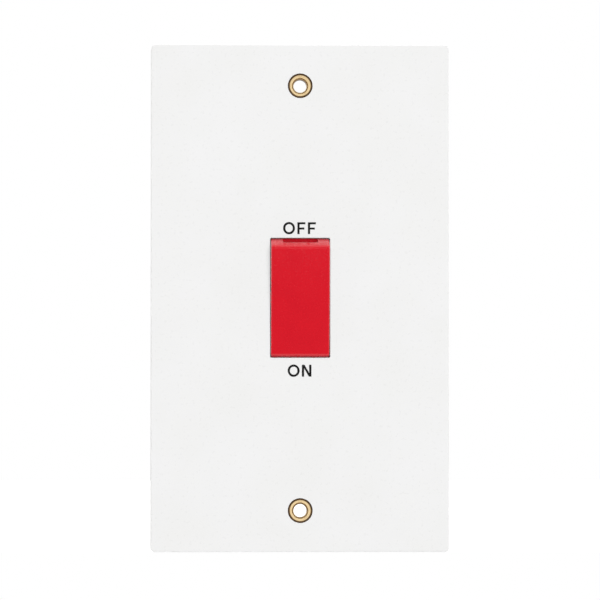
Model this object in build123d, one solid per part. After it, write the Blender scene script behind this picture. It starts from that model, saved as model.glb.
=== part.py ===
from build123d import *
import math
import os

os.makedirs("parts", exist_ok=True)

# Frame, in millimetres: X is right as seen from the front, the front faces -Y and Z is up.
# The origin is the middle of the plate's rear rim, the plane that meets the wall.

# How far a cut, or a solid that is joined on, runs past the face that it meets
overrun = 1.0
# Band on either side of a plane in which an edge counts as lying on it
on_plane = 0.01

# Front plate
plate_width = 84.5
plate_height = 144.0
plate_depth = 9.0
plate_draft = 1.2
plate_corner = 1.2
plate_edge = 0.35
face_wall = 2.8
rim_wall = 2.4
rib_wall = 1.2
rib_height = 2.6
rib_column = 31.0
rib_rows = (-52.0, -36.0, 36.0, 52.0)
opening_width = 17.0
opening_height = 34.0
opening_corner = 0.5
opening_edge = 0.2

# Wall fixing holes, lined with brass eyelets
fixing_spacing = 120.6
eyelet_bore = 1.85
eyelet_wall = 0.45
eyelet_flange = 3.5
eyelet_crest = 3.2
eyelet_proud = 0.12
eyelet_lip = 0.3
eyelet_cone_foot = 2.12
eyelet_cone_depth = 0.62
eyelet_throat = 1.2
eyelet_tail = 2.9
eyelet_clinch = 0.4
eyelet_spread = 0.02
eyelet_boss = 5.0
boss_height = 1.6

# Rocker, drawn in its middle position about its pivot: u is behind the pivot, z is up
pivot_depth = -4.0
swing = 8.0
rocker_width = 16.6
rocker_reach = 17.19
rocker_face = 7.2
rocker_crown = 0.45
rocker_skirt = 2.0
rocker_end_edge = 1.3
rocker_side_edge = 0.4
rocker_wall = 1.5
rocker_face_wall = 2.0
trunnion_radius = 1.7
trunnion_length = 2.4
trunnion_edge = 0.3
trunnion_root = 0.5
swing_gap = 0.36
web_inset = 1.0
grip_slot_width = 10.0
grip_slot_front = -4.9
grip_slot_floor = 16.2

# Spring plungers in the rocker, one for each pole
pole_offset = 4.3
tube_radius = 2.9
tube_bore = 2.1
spring_seat = -4.6
tube_end = 8.0
tube_root = 0.5
plunger_radius = 2.05
plunger_back = 2.0
plunger_shoulder = 9.5
nose_radius = 1.5
nose_centre = 12.5
spigot_radius = 1.15
spigot_length = 2.4
spring_radius = 1.67
spring_wire = 0.48
spring_turns = 4
spring_gap = 0.05

# See-saw contacts behind the plungers
fulcrum_behind_pivot = 15.8
blade_width = 5.6
blade_thickness = 1.8
blade_angle = 20.0
blade_knee = 7.5
blade_upper = 13.8
blade_lower = 8.0
blade_valley = 3.0
nose_gap = 0.05
blade_end_corner = 0.8
blade_end_lean = 25.0
ridge_radius = 0.6
notch_radius = 0.65
tip_radius = 2.2
tip_thickness = 1.0
tip_height = 11.0
tip_gap = 0.02

# Tunnel terminals and their clamping screws
tunnel_offset = 12.0
tunnel_depth = 9.0
tunnel_radius = 3.1
terminal_wall = 2.4
terminal_front = 5.0
terminal_rear = 16.5
terminal_inner = 16.5
terminal_outer = 29.5
terminal_edge = 0.5
tongue_front = 12.7
tongue_rear = 14.3
tongue_width = 5.0
tongue_root = 5.0
load_tongue_end = 7.0
supply_tongue_end = 2.5
screw_radius = 1.97
screw_length = 8.5
screw_margin = 3.3
screw_lift = 0.2
thread_gap = 0.05
slot_width = 0.8
slot_depth = 0.9

# Rocker frame and mechanism base, the two dark mouldings behind the plate
module_half_width = 20.5
module_half_height = 31.0
module_corner = 1.5
joint_depth = 1.0
frame_floor = 1.8
module_wall = 1.8
base_rear = 18.5
base_floor = 2.0
turret_rear = 22.0
turret_end_wall = 1.5
turret_side_wall = 1.2
frame_opening_width = 17.2
frame_opening_height = 35.6
frame_edge = 0.5
frame_void_half_height = 15.5
frame_void_divider = 1.0
pad_gap = 0.02
pad_half_width = 4.2
pad_half_height = 5.0
pad_relief_half_width = 6.6
pad_relief_half_height = 5.2
chamber_inner = 1.1
chamber_outer = 7.5
chamber_half_height = 14.5
chamber_wall = 1.5
void_inset = 0.8
pocket_gap = 0.1
bearing_gap = 0.05
bearing_reach = 10.9
bearing_pad = 1.6
bearing_wall = 1.6
bearing_pad_inset = 0.3
bearing_pad_end = 10.8
entry_radius = 3.5
entry_mouth = 4.3
entry_run_in = 0.5
entry_throat = 0.4
well_radius = 2.3
barrier_half_width = 1.2
recess_half_height = 12.5
recess_wall = 1.5
recess_reach = 0.3
recess_depth = 1.8

# Screws that hold the mechanism to the plate
lug_offset = 24.5
lug_height = 20.0
lug_radius = 4.0
post_radius = 3.5
post_rear = -2.0
lug_rear = 4.0
pilot_radius = 1.3
clearance_radius = 1.7
shank_radius = 1.25
head_radius = 2.8
head_height = 2.1
shank_length = 9.8

# Earth terminal on the plate's own pedestal
earth_height = -43.0
earth_half_width = 7.0
earth_half_height = 5.0
earth_front = -3.0
earth_rear = 9.0
earth_tunnel_offset = 3.5
earth_tunnel_depth = 3.2
earth_tunnel_radius = 2.2
earth_screw_radius = 1.7
earth_screw_length = 6.6
earth_edge = 0.4
claw_wall = 1.4
claw_half_height = 2.5
claw_hook = 0.8
claw_gap = 0.05

# Values that follow from the dimensions above
inner_face = face_wall - plate_depth
fulcrum_depth = pivot_depth + fulcrum_behind_pivot
rim_spread = plate_depth * math.tan(math.radians(plate_draft))
eyelet_outer = eyelet_bore + eyelet_wall
eyelet_rear = inner_face + boss_height
poles = {"live": -1, "neutral": 1}
screw_places = (terminal_inner + screw_margin, terminal_outer - screw_margin)
terminal_near = tunnel_offset - tunnel_radius - terminal_wall
terminal_far = tunnel_offset + tunnel_radius + terminal_wall
screw_tip = tunnel_depth + tunnel_radius + screw_lift


def facing(y):
    """Drawing plane at depth y that looks at the viewer, with its own y axis up."""
    return Plane.XZ.offset(-y)


def slab(outline, y_front, y_rear):
    """Solid between two depths, from an outline drawn as seen from the front."""
    return extrude(facing(y_rear) * outline, y_rear - y_front)


def area(x_low, x_high, z_low, z_high, corner=0.0):
    """Rectangle between two corners as seen from the front, with rounded corners if asked."""
    width = x_high - x_low
    height = z_high - z_low
    middle = Pos((x_low + x_high) / 2, (z_low + z_high) / 2)
    if corner:
        return middle * RectangleRounded(width, height, corner)
    return middle * Rectangle(width, height)


def rod(x, z, radius, y_front, y_rear):
    """Round bar from front to rear at one place on the face."""
    return slab(Pos(x, z) * Circle(radius), y_front, y_rear)


def upright_rod(x, y, radius, z_low, z_high):
    """Round bar that runs upwards."""
    return extrude(Plane.XY.offset(z_low) * Pos(x, y) * Circle(radius), z_high - z_low)


def four_places(x, z):
    """The four places that mirror one place over both middle lines."""
    return [(side * x, end * z) for side in (-1, 1) for end in (-1, 1)]


def turned(points):
    """Solid of revolution about Y, from (radius, depth) points."""
    half_section = make_face(Polyline(*points, close=True))
    return revolve(half_section, Axis.Y)


def in_rocker(piece):
    """Place a piece drawn about the pivot where the rocker holds it when the switch is on."""
    return Pos(0, pivot_depth, 0) * Rot(swing, 0, 0) * piece


def on_fulcrum(piece):
    """Place a piece drawn about the fulcrum where the see-saw holds it when the switch is on."""
    return Pos(0, fulcrum_depth, 0) * Rot(-swing, 0, 0) * piece


def eyelet_section():
    """Half section of an eyelet: countersunk flange, straight barrel and clinched tail."""
    front = -plate_depth
    return [
        (eyelet_bore, front + eyelet_throat),
        (eyelet_cone_foot, front + eyelet_cone_depth),
        (eyelet_crest, front - eyelet_proud),
        (eyelet_flange, front),
        (eyelet_flange, front + eyelet_lip),
        (eyelet_outer, front + eyelet_throat),
        (eyelet_outer, eyelet_rear),
        (eyelet_tail, eyelet_rear),
        (eyelet_bore, eyelet_rear + eyelet_clinch),
    ]


def eyelet(z):
    """Brass eyelet that lines one fixing hole."""
    return Pos(0, 0, z) * turned(eyelet_section())


def eyelet_seat(z):
    """Space that an eyelet takes in the plate."""
    front = -plate_depth
    spread = eyelet_spread
    profile = [
        (0, front - overrun),
        (eyelet_flange + spread, front - overrun),
        (eyelet_flange + spread, front + eyelet_lip),
        (eyelet_outer + spread, front + eyelet_throat),
        (eyelet_outer + spread, eyelet_rear + overrun),
        (0, eyelet_rear + overrun),
    ]
    return Pos(0, 0, z) * turned(profile)


def plate_shell():
    """Drafted outer form of the plate, hollow behind its face, with the rocker opening."""
    rim_width = plate_width + 2 * rim_spread
    rim_height = plate_height + 2 * rim_spread
    rim = Plane.XZ * RectangleRounded(rim_width, rim_height, plate_corner)
    shell = extrude(rim, plate_depth, taper=plate_draft)
    shell = fillet(shell.edges().group_by(Axis.Y)[0], plate_edge)
    hollow_width = rim_width - 2 * rim_wall
    hollow_height = rim_height - 2 * rim_wall
    hollow = Plane.XZ * RectangleRounded(hollow_width, hollow_height, plate_corner)
    shell -= extrude(hollow, -inner_face, taper=plate_draft)
    opening = area(
        -opening_width / 2, opening_width / 2,
        -opening_height / 2, opening_height / 2, opening_corner,
    )
    shell -= slab(opening, -plate_depth - overrun, inner_face + overrun)
    front_edges = shell.edges().filter_by_position(Axis.Y, -plate_depth - on_plane, -plate_depth + on_plane)
    opening_edges = front_edges.filter_by_position(Axis.Z, -opening_height / 2, opening_height / 2)
    opening_edges = opening_edges.filter_by_position(Axis.X, -opening_width / 2, opening_width / 2)
    shell = chamfer(opening_edges, opening_edge)
    sweep_room = Rot(0, 90, 0) * Cylinder(rocker_reach + swing_gap, opening_width)
    return shell - Pos(0, pivot_depth, 0) * sweep_room


def plate_ribs():
    """Stiffening ribs on the rear of the face, in a grid clear of the mechanism."""
    ribs = []
    rib_rear = inner_face + rib_height
    half_wall = rib_wall / 2
    inside = plate_height / 2 - rim_wall / 2
    for x in (-rib_column, rib_column):
        ribs.append(slab(area(x - half_wall, x + half_wall, -inside, inside), inner_face, rib_rear))
    for z in rib_rows:
        across = area(-rib_column, rib_column, z - half_wall, z + half_wall)
        ribs.append(slab(across, inner_face, rib_rear))
    return ribs


def earth_cradle():
    """Pedestal and two snap claws that hold the earth terminal."""
    low = earth_height - earth_half_height
    high = earth_height + earth_half_height
    cradle = [slab(area(-earth_half_width, earth_half_width, low, high), inner_face, earth_front)]
    for side in (-1, 1):
        profile = Polyline(
            (earth_half_width + claw_gap, inner_face),
            (earth_half_width + claw_gap, earth_rear + claw_gap),
            (earth_half_width - claw_hook, earth_rear + claw_gap),
            (earth_half_width + claw_gap, earth_rear + claw_wall),
            (earth_half_width + claw_wall, earth_rear + claw_wall),
            (earth_half_width + claw_wall, inner_face),
            close=True,
        )
        start = Plane.XY.offset(earth_height - claw_half_height)
        claw = extrude(start * make_face(profile), 2 * claw_half_height)
        cradle.append(claw if side > 0 else mirror(claw, Plane.YZ))
    return cradle


def front_plate():
    """The one-piece white plate with everything moulded on its rear."""
    plate = plate_shell()
    for z in (-fixing_spacing / 2, fixing_spacing / 2):
        plate += rod(0, z, eyelet_boss, inner_face, eyelet_rear)
    for x, z in four_places(lug_offset, lug_height):
        plate += rod(x, z, post_radius, inner_face, post_rear)
    plate += plate_ribs()
    plate += earth_cradle()
    pad_rear = pivot_depth - trunnion_radius - bearing_gap
    for side in (-1, 1):
        ends = sorted((side * (opening_width / 2 + bearing_pad_inset), side * bearing_pad_end))
        plate += slab(area(*ends, -bearing_pad, bearing_pad), inner_face, pad_rear)
    for x, z in four_places(lug_offset, lug_height):
        plate -= rod(x, z, pilot_radius, inner_face, post_rear)
    for z in (-fixing_spacing / 2, fixing_spacing / 2):
        plate -= eyelet_seat(z)
    return plate


def swing_point(u, radius):
    """Point at depth u on a circle about the pivot, on its upper half."""
    return (u, math.sqrt(radius ** 2 - u ** 2))


def below(point):
    """The same point on the lower half of the rocker."""
    return (point[0], -point[1])


def rocker_outline(face, crown, radius, rear):
    """Side view of the rocker: crowned face and two ends that are arcs about the pivot."""
    face_end = swing_point(-face, radius)
    rear_end = swing_point(rear, radius)
    middle = swing_point((rear - face) / 2, radius)
    edges = [
        ThreePointArc(face_end, (-face - crown, 0), below(face_end)),
        ThreePointArc(below(face_end), below(middle), below(rear_end)),
        Line(below(rear_end), rear_end),
        ThreePointArc(rear_end, middle, face_end),
    ]
    return Plane.YZ * make_face(edges)


def rocker_shell():
    """Hollow red shell with rounded edges."""
    outline = rocker_outline(rocker_face, rocker_crown, rocker_reach, rocker_skirt)
    shell = extrude(outline, rocker_width / 2, both=True)
    end_edges = shell.edges().filter_by(Axis.X).sort_by(Axis.Y)[:2]
    shell = fillet(end_edges, rocker_end_edge)
    side_edges = ShapeList()
    for side in (-1, 1):
        x = side * rocker_width / 2
        side_edges += shell.edges().filter_by_position(Axis.X, x - on_plane, x + on_plane)
    rear_lines = shell.edges().filter_by(Axis.Z)
    side_edges = ShapeList([edge for edge in side_edges if edge not in rear_lines])
    shell = fillet(side_edges, rocker_side_edge)
    inside = rocker_outline(
        rocker_face - rocker_face_wall, rocker_crown, rocker_reach - rocker_wall, rocker_skirt + overrun,
    )
    return shell - extrude(inside, rocker_width / 2 - rocker_wall, both=True)


def rocker():
    """Rocker with its trunnions, spring tubes, middle web and the notches in its end faces."""
    piece = rocker_shell()
    wall_rear = -rocker_face + rocker_face_wall - rocker_crown
    web = area(-rib_wall / 2, rib_wall / 2, -rocker_reach + rocker_wall, rocker_reach - rocker_wall)
    web_solid = slab(web, wall_rear, 0)
    keep = rocker_outline(rocker_face - web_inset, rocker_crown, rocker_reach - web_inset, rocker_skirt)
    piece += web_solid & extrude(keep, rib_wall, both=True)
    for side in (-1, 1):
        piece += rod(side * pole_offset, 0, tube_radius, wall_rear - tube_root, tube_end)
    for side in (-1, 1):
        piece -= rod(side * pole_offset, 0, tube_bore, spring_seat, tube_end)
        pin = Cylinder(trunnion_radius, trunnion_length + trunnion_root)
        outer_edge = pin.edges().sort_by(Axis.Z)[-1 if side > 0 else 0]
        middle = rocker_width / 2 + (trunnion_length - trunnion_root) / 2
        piece += Pos(side * middle, 0, 0) * Rot(0, 90, 0) * chamfer(outer_edge, trunnion_edge)
    for end in (-1, 1):
        span = sorted((end * grip_slot_floor, end * rocker_reach))
        slot = area(-grip_slot_width / 2, grip_slot_width / 2, *span)
        piece -= slab(slot, grip_slot_front, rocker_skirt + overrun)
    return in_rocker(piece)


def plunger(side):
    """Plunger with a round nose, a shoulder that guides it and a spigot for its spring."""
    tip = nose_centre + nose_radius
    slope = math.sqrt(0.5) * nose_radius
    edges = [
        Polyline(
            (0, tip), (0, plunger_back - spigot_length),
            (spigot_radius, plunger_back - spigot_length), (spigot_radius, plunger_back),
            (plunger_radius, plunger_back), (plunger_radius, plunger_shoulder),
            (nose_radius, plunger_shoulder), (nose_radius, nose_centre),
        ),
        ThreePointArc((nose_radius, nose_centre), (slope, nose_centre + slope), (0, tip)),
    ]
    body = revolve(make_face(edges), Axis.Y)
    return in_rocker(Pos(side * pole_offset, 0, 0) * body)


def plunger_spring(side):
    """Compression spring, of square wire, between the end of the rocker's tube and the plunger."""
    length = plunger_back - spring_seat
    travel = length - spring_wire - 2 * spring_gap
    path = Helix(travel / spring_turns, travel, spring_radius)
    section = Plane(path @ 0, z_dir=path % 0) * Rectangle(spring_wire, spring_wire)
    coil = sweep(section, path=path, is_frenet=True)
    lying = Pos(0, plunger_back - spring_wire / 2 - spring_gap, 0) * Rot(90, 0, 0) * coil
    return in_rocker(Pos(side * pole_offset, 0, 0) * lying)


def nose_place(angle):
    """Nose centre as the see-saw sees it: behind its fulcrum line, and up along it."""
    behind = nose_centre * math.cos(2 * angle) - fulcrum_behind_pivot * math.cos(angle)
    up = nose_centre * math.sin(2 * angle) - fulcrum_behind_pivot * math.sin(angle)
    return behind, up


def blade_rear_points():
    """Rear line of the see-saw: a flat upper end, a knee, the valley and the lower end."""
    slope = math.tan(math.radians(blade_angle))
    lean = math.cos(math.radians(blade_angle))
    behind, up = nose_place(math.radians(swing))
    valley = behind + up * slope + (nose_radius + nose_gap) / lean
    rear = valley + blade_thickness / lean
    knee = rear - blade_knee * slope
    end = knee - (blade_upper - blade_knee) * math.tan(math.radians(swing))
    return [(end, blade_upper), (knee, blade_knee), (rear, 0), (rear - blade_lower * slope, -blade_lower)]


def moving_contact(side):
    """Copper see-saw, pressed from strip, with a notch that sits on the fulcrum ridge."""
    line = Polyline(*blade_rear_points())
    strip = offset(line, amount=blade_thickness, side=Side.RIGHT, closed=True)
    outline = make_face(strip)
    inner = outline.vertices().filter_by_position(Axis.Y, -0.5, 0.5).sort_by(Axis.X)[0]
    outline = fillet(inner, blade_valley)
    outline -= Circle(notch_radius)
    blade = extrude(Plane.YZ * outline, blade_width / 2, both=True)
    long_ends = blade.edges().filter_by(Axis.Y, tolerance=blade_end_lean).group_by(Axis.Z)
    blade = fillet(long_ends[-1] + long_ends[0], blade_end_corner)
    return on_fulcrum(Pos(side * pole_offset, 0, 0) * blade)


def upper_blade_rear():
    """Depth of the see-saw's flat upper end when the switch is on."""
    behind, up = blade_rear_points()[1]
    turn = math.radians(swing)
    return fulcrum_depth + behind * math.cos(turn) + up * math.sin(turn)


def contact_tip(side, y_front, y_rear):
    """Silver contact button."""
    return rod(side * pole_offset, tip_height, tip_radius, y_front, y_rear)


def terminal_screw_places(end):
    """Heights of the two clamping screws of a terminal at the top or the bottom."""
    return [end * place for place in screw_places]


def tongue_outline(side, end, reach):
    """Flat brass tongue that leads from the terminal block to the contact."""
    near = pole_offset - tongue_width / 2
    far = pole_offset + tongue_width / 2
    root = terminal_inner + tongue_root
    strip = area(*sorted((side * near, side * far)), *sorted((end * reach, end * root)))
    ear = area(
        *sorted((side * near, side * (terminal_near + overrun))), *sorted((end * terminal_inner, end * root)),
    )
    return strip + ear


def terminal(side, end):
    """Brass tunnel terminal: load ones are at the top, supply ones at the bottom."""
    block_outline = area(
        *sorted((side * terminal_near, side * terminal_far)),
        *sorted((end * terminal_inner, end * terminal_outer)),
    )
    block = slab(block_outline, terminal_front, terminal_rear)
    block = chamfer(block.edges().filter_by(Axis.Z), terminal_edge)
    reach = load_tongue_end if end > 0 else -supply_tongue_end
    block += slab(tongue_outline(side, end, reach), tongue_front, tongue_rear)
    if end < 0:
        ridge = Rot(0, 90, 0) * Cylinder(ridge_radius, tongue_width)
        block += Pos(side * pole_offset, fulcrum_depth, 0) * ridge
        stalk = area(
            *sorted((side * (pole_offset - tongue_width / 2), side * (pole_offset + tongue_width / 2))),
            -ridge_radius, ridge_radius,
        )
        block += slab(stalk, fulcrum_depth, tongue_front)
    span = sorted((end * terminal_inner, end * terminal_outer))
    block -= upright_rod(side * tunnel_offset, tunnel_depth, tunnel_radius, span[0], span[1])
    for z in terminal_screw_places(end):
        block -= rod(side * tunnel_offset, z, screw_radius + thread_gap, tunnel_depth, terminal_rear)
    return block


def slotted_screw(x, z, radius, tip, length):
    """Headless clamping screw with a screwdriver slot in its rear end."""
    screw = rod(x, z, radius, tip, tip + length)
    slot = area(x - radius, x + radius, z - slot_width / 2, z + slot_width / 2)
    return screw - slab(slot, tip + length - slot_depth, tip + length)


def lugs(y_front, y_rear):
    """Four screw ears that stand out of the sides of a module moulding."""
    ears = []
    for x, z in four_places(lug_offset, lug_height):
        side = 1 if x > 0 else -1
        inner, outer = sorted((side * (module_half_width - overrun), x))
        bridge = area(inner, outer, z - lug_radius, z + lug_radius)
        ears.append(slab(bridge + Pos(x, z) * Circle(lug_radius), y_front, y_rear))
    return ears


def module_outline():
    """Outline that the rocker frame and the mechanism base share."""
    return area(
        -module_half_width, module_half_width, -module_half_height, module_half_height, module_corner,
    )


def rocker_frame():
    """Dark moulding that carries the rocker's trunnions and closes the mechanism base."""
    frame = slab(module_outline(), inner_face, joint_depth)
    frame = chamfer(frame.edges().filter_by(Axis.Y, reverse=True).group_by(Axis.Y)[0], frame_edge)
    frame += lugs(post_rear, joint_depth)
    frame -= slab(
        area(
            -frame_opening_width / 2, frame_opening_width / 2,
            -frame_opening_height / 2, frame_opening_height / 2, 1.0,
        ),
        inner_face, joint_depth,
    )
    slot_radius = trunnion_radius + bearing_gap
    for side in (-1, 1):
        span = sorted((side * frame_opening_width / 2, side * bearing_reach))
        frame -= slab(area(*span, -slot_radius, slot_radius), inner_face, pivot_depth)
        middle = (span[0] + span[1]) / 2
        cradle = Rot(0, 90, 0) * Cylinder(slot_radius, span[1] - span[0])
        frame -= Pos(middle, pivot_depth, 0) * cradle
        hollow = sorted((side * (bearing_reach + bearing_wall), side * (module_half_width - module_wall)))
        for end in (-1, 1):
            span = sorted((end * frame_void_divider, end * frame_void_half_height))
            frame -= slab(area(*hollow, *span), inner_face, joint_depth - frame_floor)
    for x, z in four_places(tunnel_offset, (terminal_inner + terminal_outer) / 2):
        pad = Pos(x, z) * Rectangle(2 * pad_half_width, 2 * pad_half_height)
        frame += slab(pad, joint_depth - overrun, terminal_front - pad_gap)
        relief = Pos(x, z) * Rectangle(2 * pad_relief_half_width, 2 * pad_relief_half_height)
        frame -= slab(relief, inner_face, joint_depth - frame_floor)
    for x, z in four_places(lug_offset, lug_height):
        frame -= rod(x, z, clearance_radius, inner_face, joint_depth)
    return frame


def cable_entry(side, end):
    """Bell-mouthed hole in an end wall that leads a conductor into its tunnel."""
    x = side * tunnel_offset
    inner = terminal_outer
    outer = module_half_height
    profile = make_face(
        Polyline(
            (0, inner - entry_run_in), (entry_radius, inner - entry_run_in),
            (entry_radius, inner + entry_throat), (entry_mouth, outer + on_plane), (0, outer + on_plane),
            close=True,
        )
    )
    mouth = revolve(Plane.XZ * profile, Axis.Z)
    placed = Pos(x, tunnel_depth, 0) * mouth
    return placed if end > 0 else mirror(placed, Plane.XY)


def base_outer():
    """Outside of the mechanism base: body, four turrets over the screws and a middle barrier."""
    base = slab(module_outline(), joint_depth, base_rear)
    turret_inner = terminal_inner - turret_end_wall
    for side in (-1, 1):
        for end in (-1, 1):
            turret = area(
                *sorted((side * (terminal_near - turret_side_wall), side * module_half_width)),
                *sorted((end * turret_inner, end * module_half_height)),
            )
            base += slab(turret & module_outline(), base_rear - overrun, turret_rear)
    barrier = area(-barrier_half_width, barrier_half_width, -module_half_height, module_half_height)
    base += slab(barrier, base_rear - overrun, turret_rear)
    base += lugs(joint_depth, lug_rear)
    return base


def terminal_pocket(side, end):
    """Space for one terminal, open to the front so that it drops in, with its screw wells."""
    gap = pocket_gap
    block = area(
        *sorted((side * (terminal_near - gap), side * (terminal_far + gap))),
        *sorted((end * (terminal_inner - gap), end * (terminal_outer + gap))),
    )
    pocket = slab(block, joint_depth, terminal_rear)
    tongue_near = pole_offset - tongue_width / 2 - gap
    tongue_far = pole_offset + tongue_width / 2 + gap
    ear = area(
        *sorted((side * tongue_near, side * tongue_far)),
        *sorted((end * (chamber_half_height - overrun), end * (terminal_inner + tongue_root + gap))),
    )
    pocket += slab(ear, joint_depth, tongue_rear)
    for z in terminal_screw_places(end):
        pocket += rod(side * tunnel_offset, z, well_radius, terminal_rear - overrun, turret_rear)
    return pocket


def mechanism_base():
    """Dark moulding that holds the terminals and the see-saw contacts."""
    base = base_outer()
    for side in (-1, 1):
        chamber = sorted((side * chamber_inner, side * chamber_outer))
        base -= slab(
            area(*chamber, -chamber_half_height, chamber_half_height), joint_depth, tongue_rear,
        )
        void = sorted((side * (chamber_outer + chamber_wall), side * (module_half_width - module_wall)))
        void_half_height = chamber_half_height - void_inset
        base -= slab(area(*void, -void_half_height, void_half_height), joint_depth, base_rear - base_floor)
        recess = sorted((side * (barrier_half_width + recess_wall), side * (chamber_outer + recess_reach)))
        recess_area = area(*recess, -recess_half_height, recess_half_height)
        base -= slab(recess_area, base_rear - recess_depth, base_rear)
        for end in (-1, 1):
            base -= terminal_pocket(side, end)
            base -= cable_entry(side, end)
    for x, z in four_places(lug_offset, lug_height):
        base -= rod(x, z, clearance_radius, joint_depth, lug_rear)
    return base


def module_screw(x, z):
    """Cheese-head screw that goes through both mouldings into a post of the plate."""
    screw = rod(x, z, shank_radius, lug_rear - shank_length, lug_rear)
    head = rod(x, z, head_radius, lug_rear, lug_rear + head_height)
    slot = area(x - head_radius, x + head_radius, z - slot_width / 2, z + slot_width / 2)
    return screw + head - slab(slot, lug_rear + head_height - slot_depth, lug_rear + head_height)


def earth_terminal():
    """Brass bar with two tunnels side by side."""
    low = earth_height - earth_half_height
    high = earth_height + earth_half_height
    bar = slab(area(-earth_half_width, earth_half_width, low, high), earth_front, earth_rear)
    bar = chamfer(bar.edges().filter_by(Axis.Z).sort_by(Axis.Y)[-2:], earth_edge)
    for side in (-1, 1):
        x = side * earth_tunnel_offset
        bar -= upright_rod(x, earth_tunnel_depth, earth_tunnel_radius, low, high)
        bar -= rod(x, earth_height, earth_screw_radius + thread_gap, earth_tunnel_depth, earth_rear)
    return bar


def save(name, piece):
    """Write one sub-part to its own file."""
    export_step(piece, f"parts/{name}.step")


save("front_plate", front_plate())
save("upper_eyelet", eyelet(fixing_spacing / 2))
save("lower_eyelet", eyelet(-fixing_spacing / 2))
save("rocker", rocker())
save("rocker_frame", rocker_frame())
save("mechanism_base", mechanism_base())

moving_face = upper_blade_rear()
for pole, side in poles.items():
    save(f"{pole}_plunger", plunger(side))
    save(f"{pole}_spring", plunger_spring(side))
    save(f"{pole}_moving_contact", moving_contact(side))
    save(f"{pole}_moving_tip", contact_tip(side, moving_face, moving_face + tip_thickness))
    fixed_face = moving_face + tip_thickness + tip_gap
    save(f"{pole}_fixed_tip", contact_tip(side, fixed_face, tongue_front))
    for duty, end in (("supply", -1), ("load", 1)):
        save(f"{pole}_{duty}_terminal", terminal(side, end))
        for place, z in zip(("inner", "outer"), terminal_screw_places(end)):
            screw = slotted_screw(side * tunnel_offset, z, screw_radius, screw_tip, screw_length)
            save(f"{pole}_{duty}_screw_{place}", screw)

for (x, z), corner in zip(
    four_places(lug_offset, lug_height), ("lower_left", "upper_left", "lower_right", "upper_right"),
):
    save(f"{corner}_module_screw", module_screw(x, z))

save("earth_terminal", earth_terminal())
earth_screw_tip = earth_tunnel_depth + earth_tunnel_radius + screw_lift
for side, hand in ((-1, "left"), (1, "right")):
    x = side * earth_tunnel_offset
    screw = slotted_screw(x, earth_height, earth_screw_radius, earth_screw_tip, earth_screw_length)
    save(f"earth_screw_{hand}", screw)
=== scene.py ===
"""Looks of a double pole switch: a tall white wall plate with a red rocker and its mechanism behind.

X is right as seen from the front, the front faces -Y and Z is up. Sizes in the classes are
millimetres, and Blender's own units are metres.
"""

import logging
import math
from dataclasses import dataclass
from enum import Enum

import bmesh
import bpy
from mathutils import Matrix, Vector


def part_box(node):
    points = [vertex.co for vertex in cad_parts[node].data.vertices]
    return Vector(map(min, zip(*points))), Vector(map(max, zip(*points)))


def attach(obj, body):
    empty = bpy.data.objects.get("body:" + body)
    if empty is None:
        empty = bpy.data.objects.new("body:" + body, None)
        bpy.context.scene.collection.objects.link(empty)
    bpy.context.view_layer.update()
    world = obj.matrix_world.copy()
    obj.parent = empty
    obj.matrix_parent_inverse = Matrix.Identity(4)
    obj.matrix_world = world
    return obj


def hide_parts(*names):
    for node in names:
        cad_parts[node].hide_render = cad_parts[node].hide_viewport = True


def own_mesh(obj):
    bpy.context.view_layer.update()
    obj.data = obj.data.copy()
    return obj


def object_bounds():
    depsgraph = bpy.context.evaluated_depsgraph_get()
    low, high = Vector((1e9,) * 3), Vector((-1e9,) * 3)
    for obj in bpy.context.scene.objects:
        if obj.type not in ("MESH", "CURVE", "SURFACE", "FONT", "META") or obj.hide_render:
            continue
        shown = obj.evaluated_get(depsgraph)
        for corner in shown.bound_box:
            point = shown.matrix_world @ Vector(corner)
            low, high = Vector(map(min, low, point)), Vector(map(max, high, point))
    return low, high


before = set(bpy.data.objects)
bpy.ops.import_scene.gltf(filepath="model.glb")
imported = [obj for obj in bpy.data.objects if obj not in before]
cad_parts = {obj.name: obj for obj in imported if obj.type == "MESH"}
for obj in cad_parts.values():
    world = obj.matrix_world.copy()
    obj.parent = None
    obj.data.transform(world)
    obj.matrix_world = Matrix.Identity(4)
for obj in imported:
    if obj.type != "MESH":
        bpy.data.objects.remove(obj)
CAD_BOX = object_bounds()

LOG = logging.getLogger("switch")
MM = 0.001
FULL_TURN = 2 * math.pi
HOUSING = "housing"
ROCKER_BODY = "rocker_body"

# Blender's noise stays mostly between these two values.
NOISE_LOW, NOISE_HIGH = 0.3, 0.7
# Edges that turn by more than this many degrees stay sharp, on any piece, on a screw and on a wire.
SHARP, SCREW_SHARP, WIRE_SHARP = 32.0, 40.0, 60.0

Socket = bpy.types.NodeSocket
Colour = tuple[float, float, float, float]
Point = tuple[float, float, float]
Flat = tuple[float, float]
Face = list[int]
Shape = tuple[list[Point], list[Face]]


class Pole(Enum):
    """The two conductors that the switch breaks, with the side of the plate each lies on."""

    LIVE = -1
    NEUTRAL = 1

    @property
    def label(self) -> str:
        """The pole's name as the nodes spell it."""
        return self.name.lower()


class Duty(Enum):
    """What a terminal connects, as the nodes spell it."""

    SUPPLY = "supply"
    LOAD = "load"


def linear(hex_colour: str) -> Colour:
    """Turn an sRGB colour into the linear one that Blender's sockets take.

    Args:
        hex_colour: Six hex digits, two each for red, green and blue.

    Returns:
        Linear red, green, blue and an alpha of 1.
    """
    channels = []
    for start in (0, 2, 4):
        value = int(hex_colour[start:start + 2], 16) / 255
        channels.append(value / 12.92 if value <= 0.04045 else ((value + 0.055) / 1.055) ** 2.4)
    return (channels[0], channels[1], channels[2], 1.0)


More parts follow.
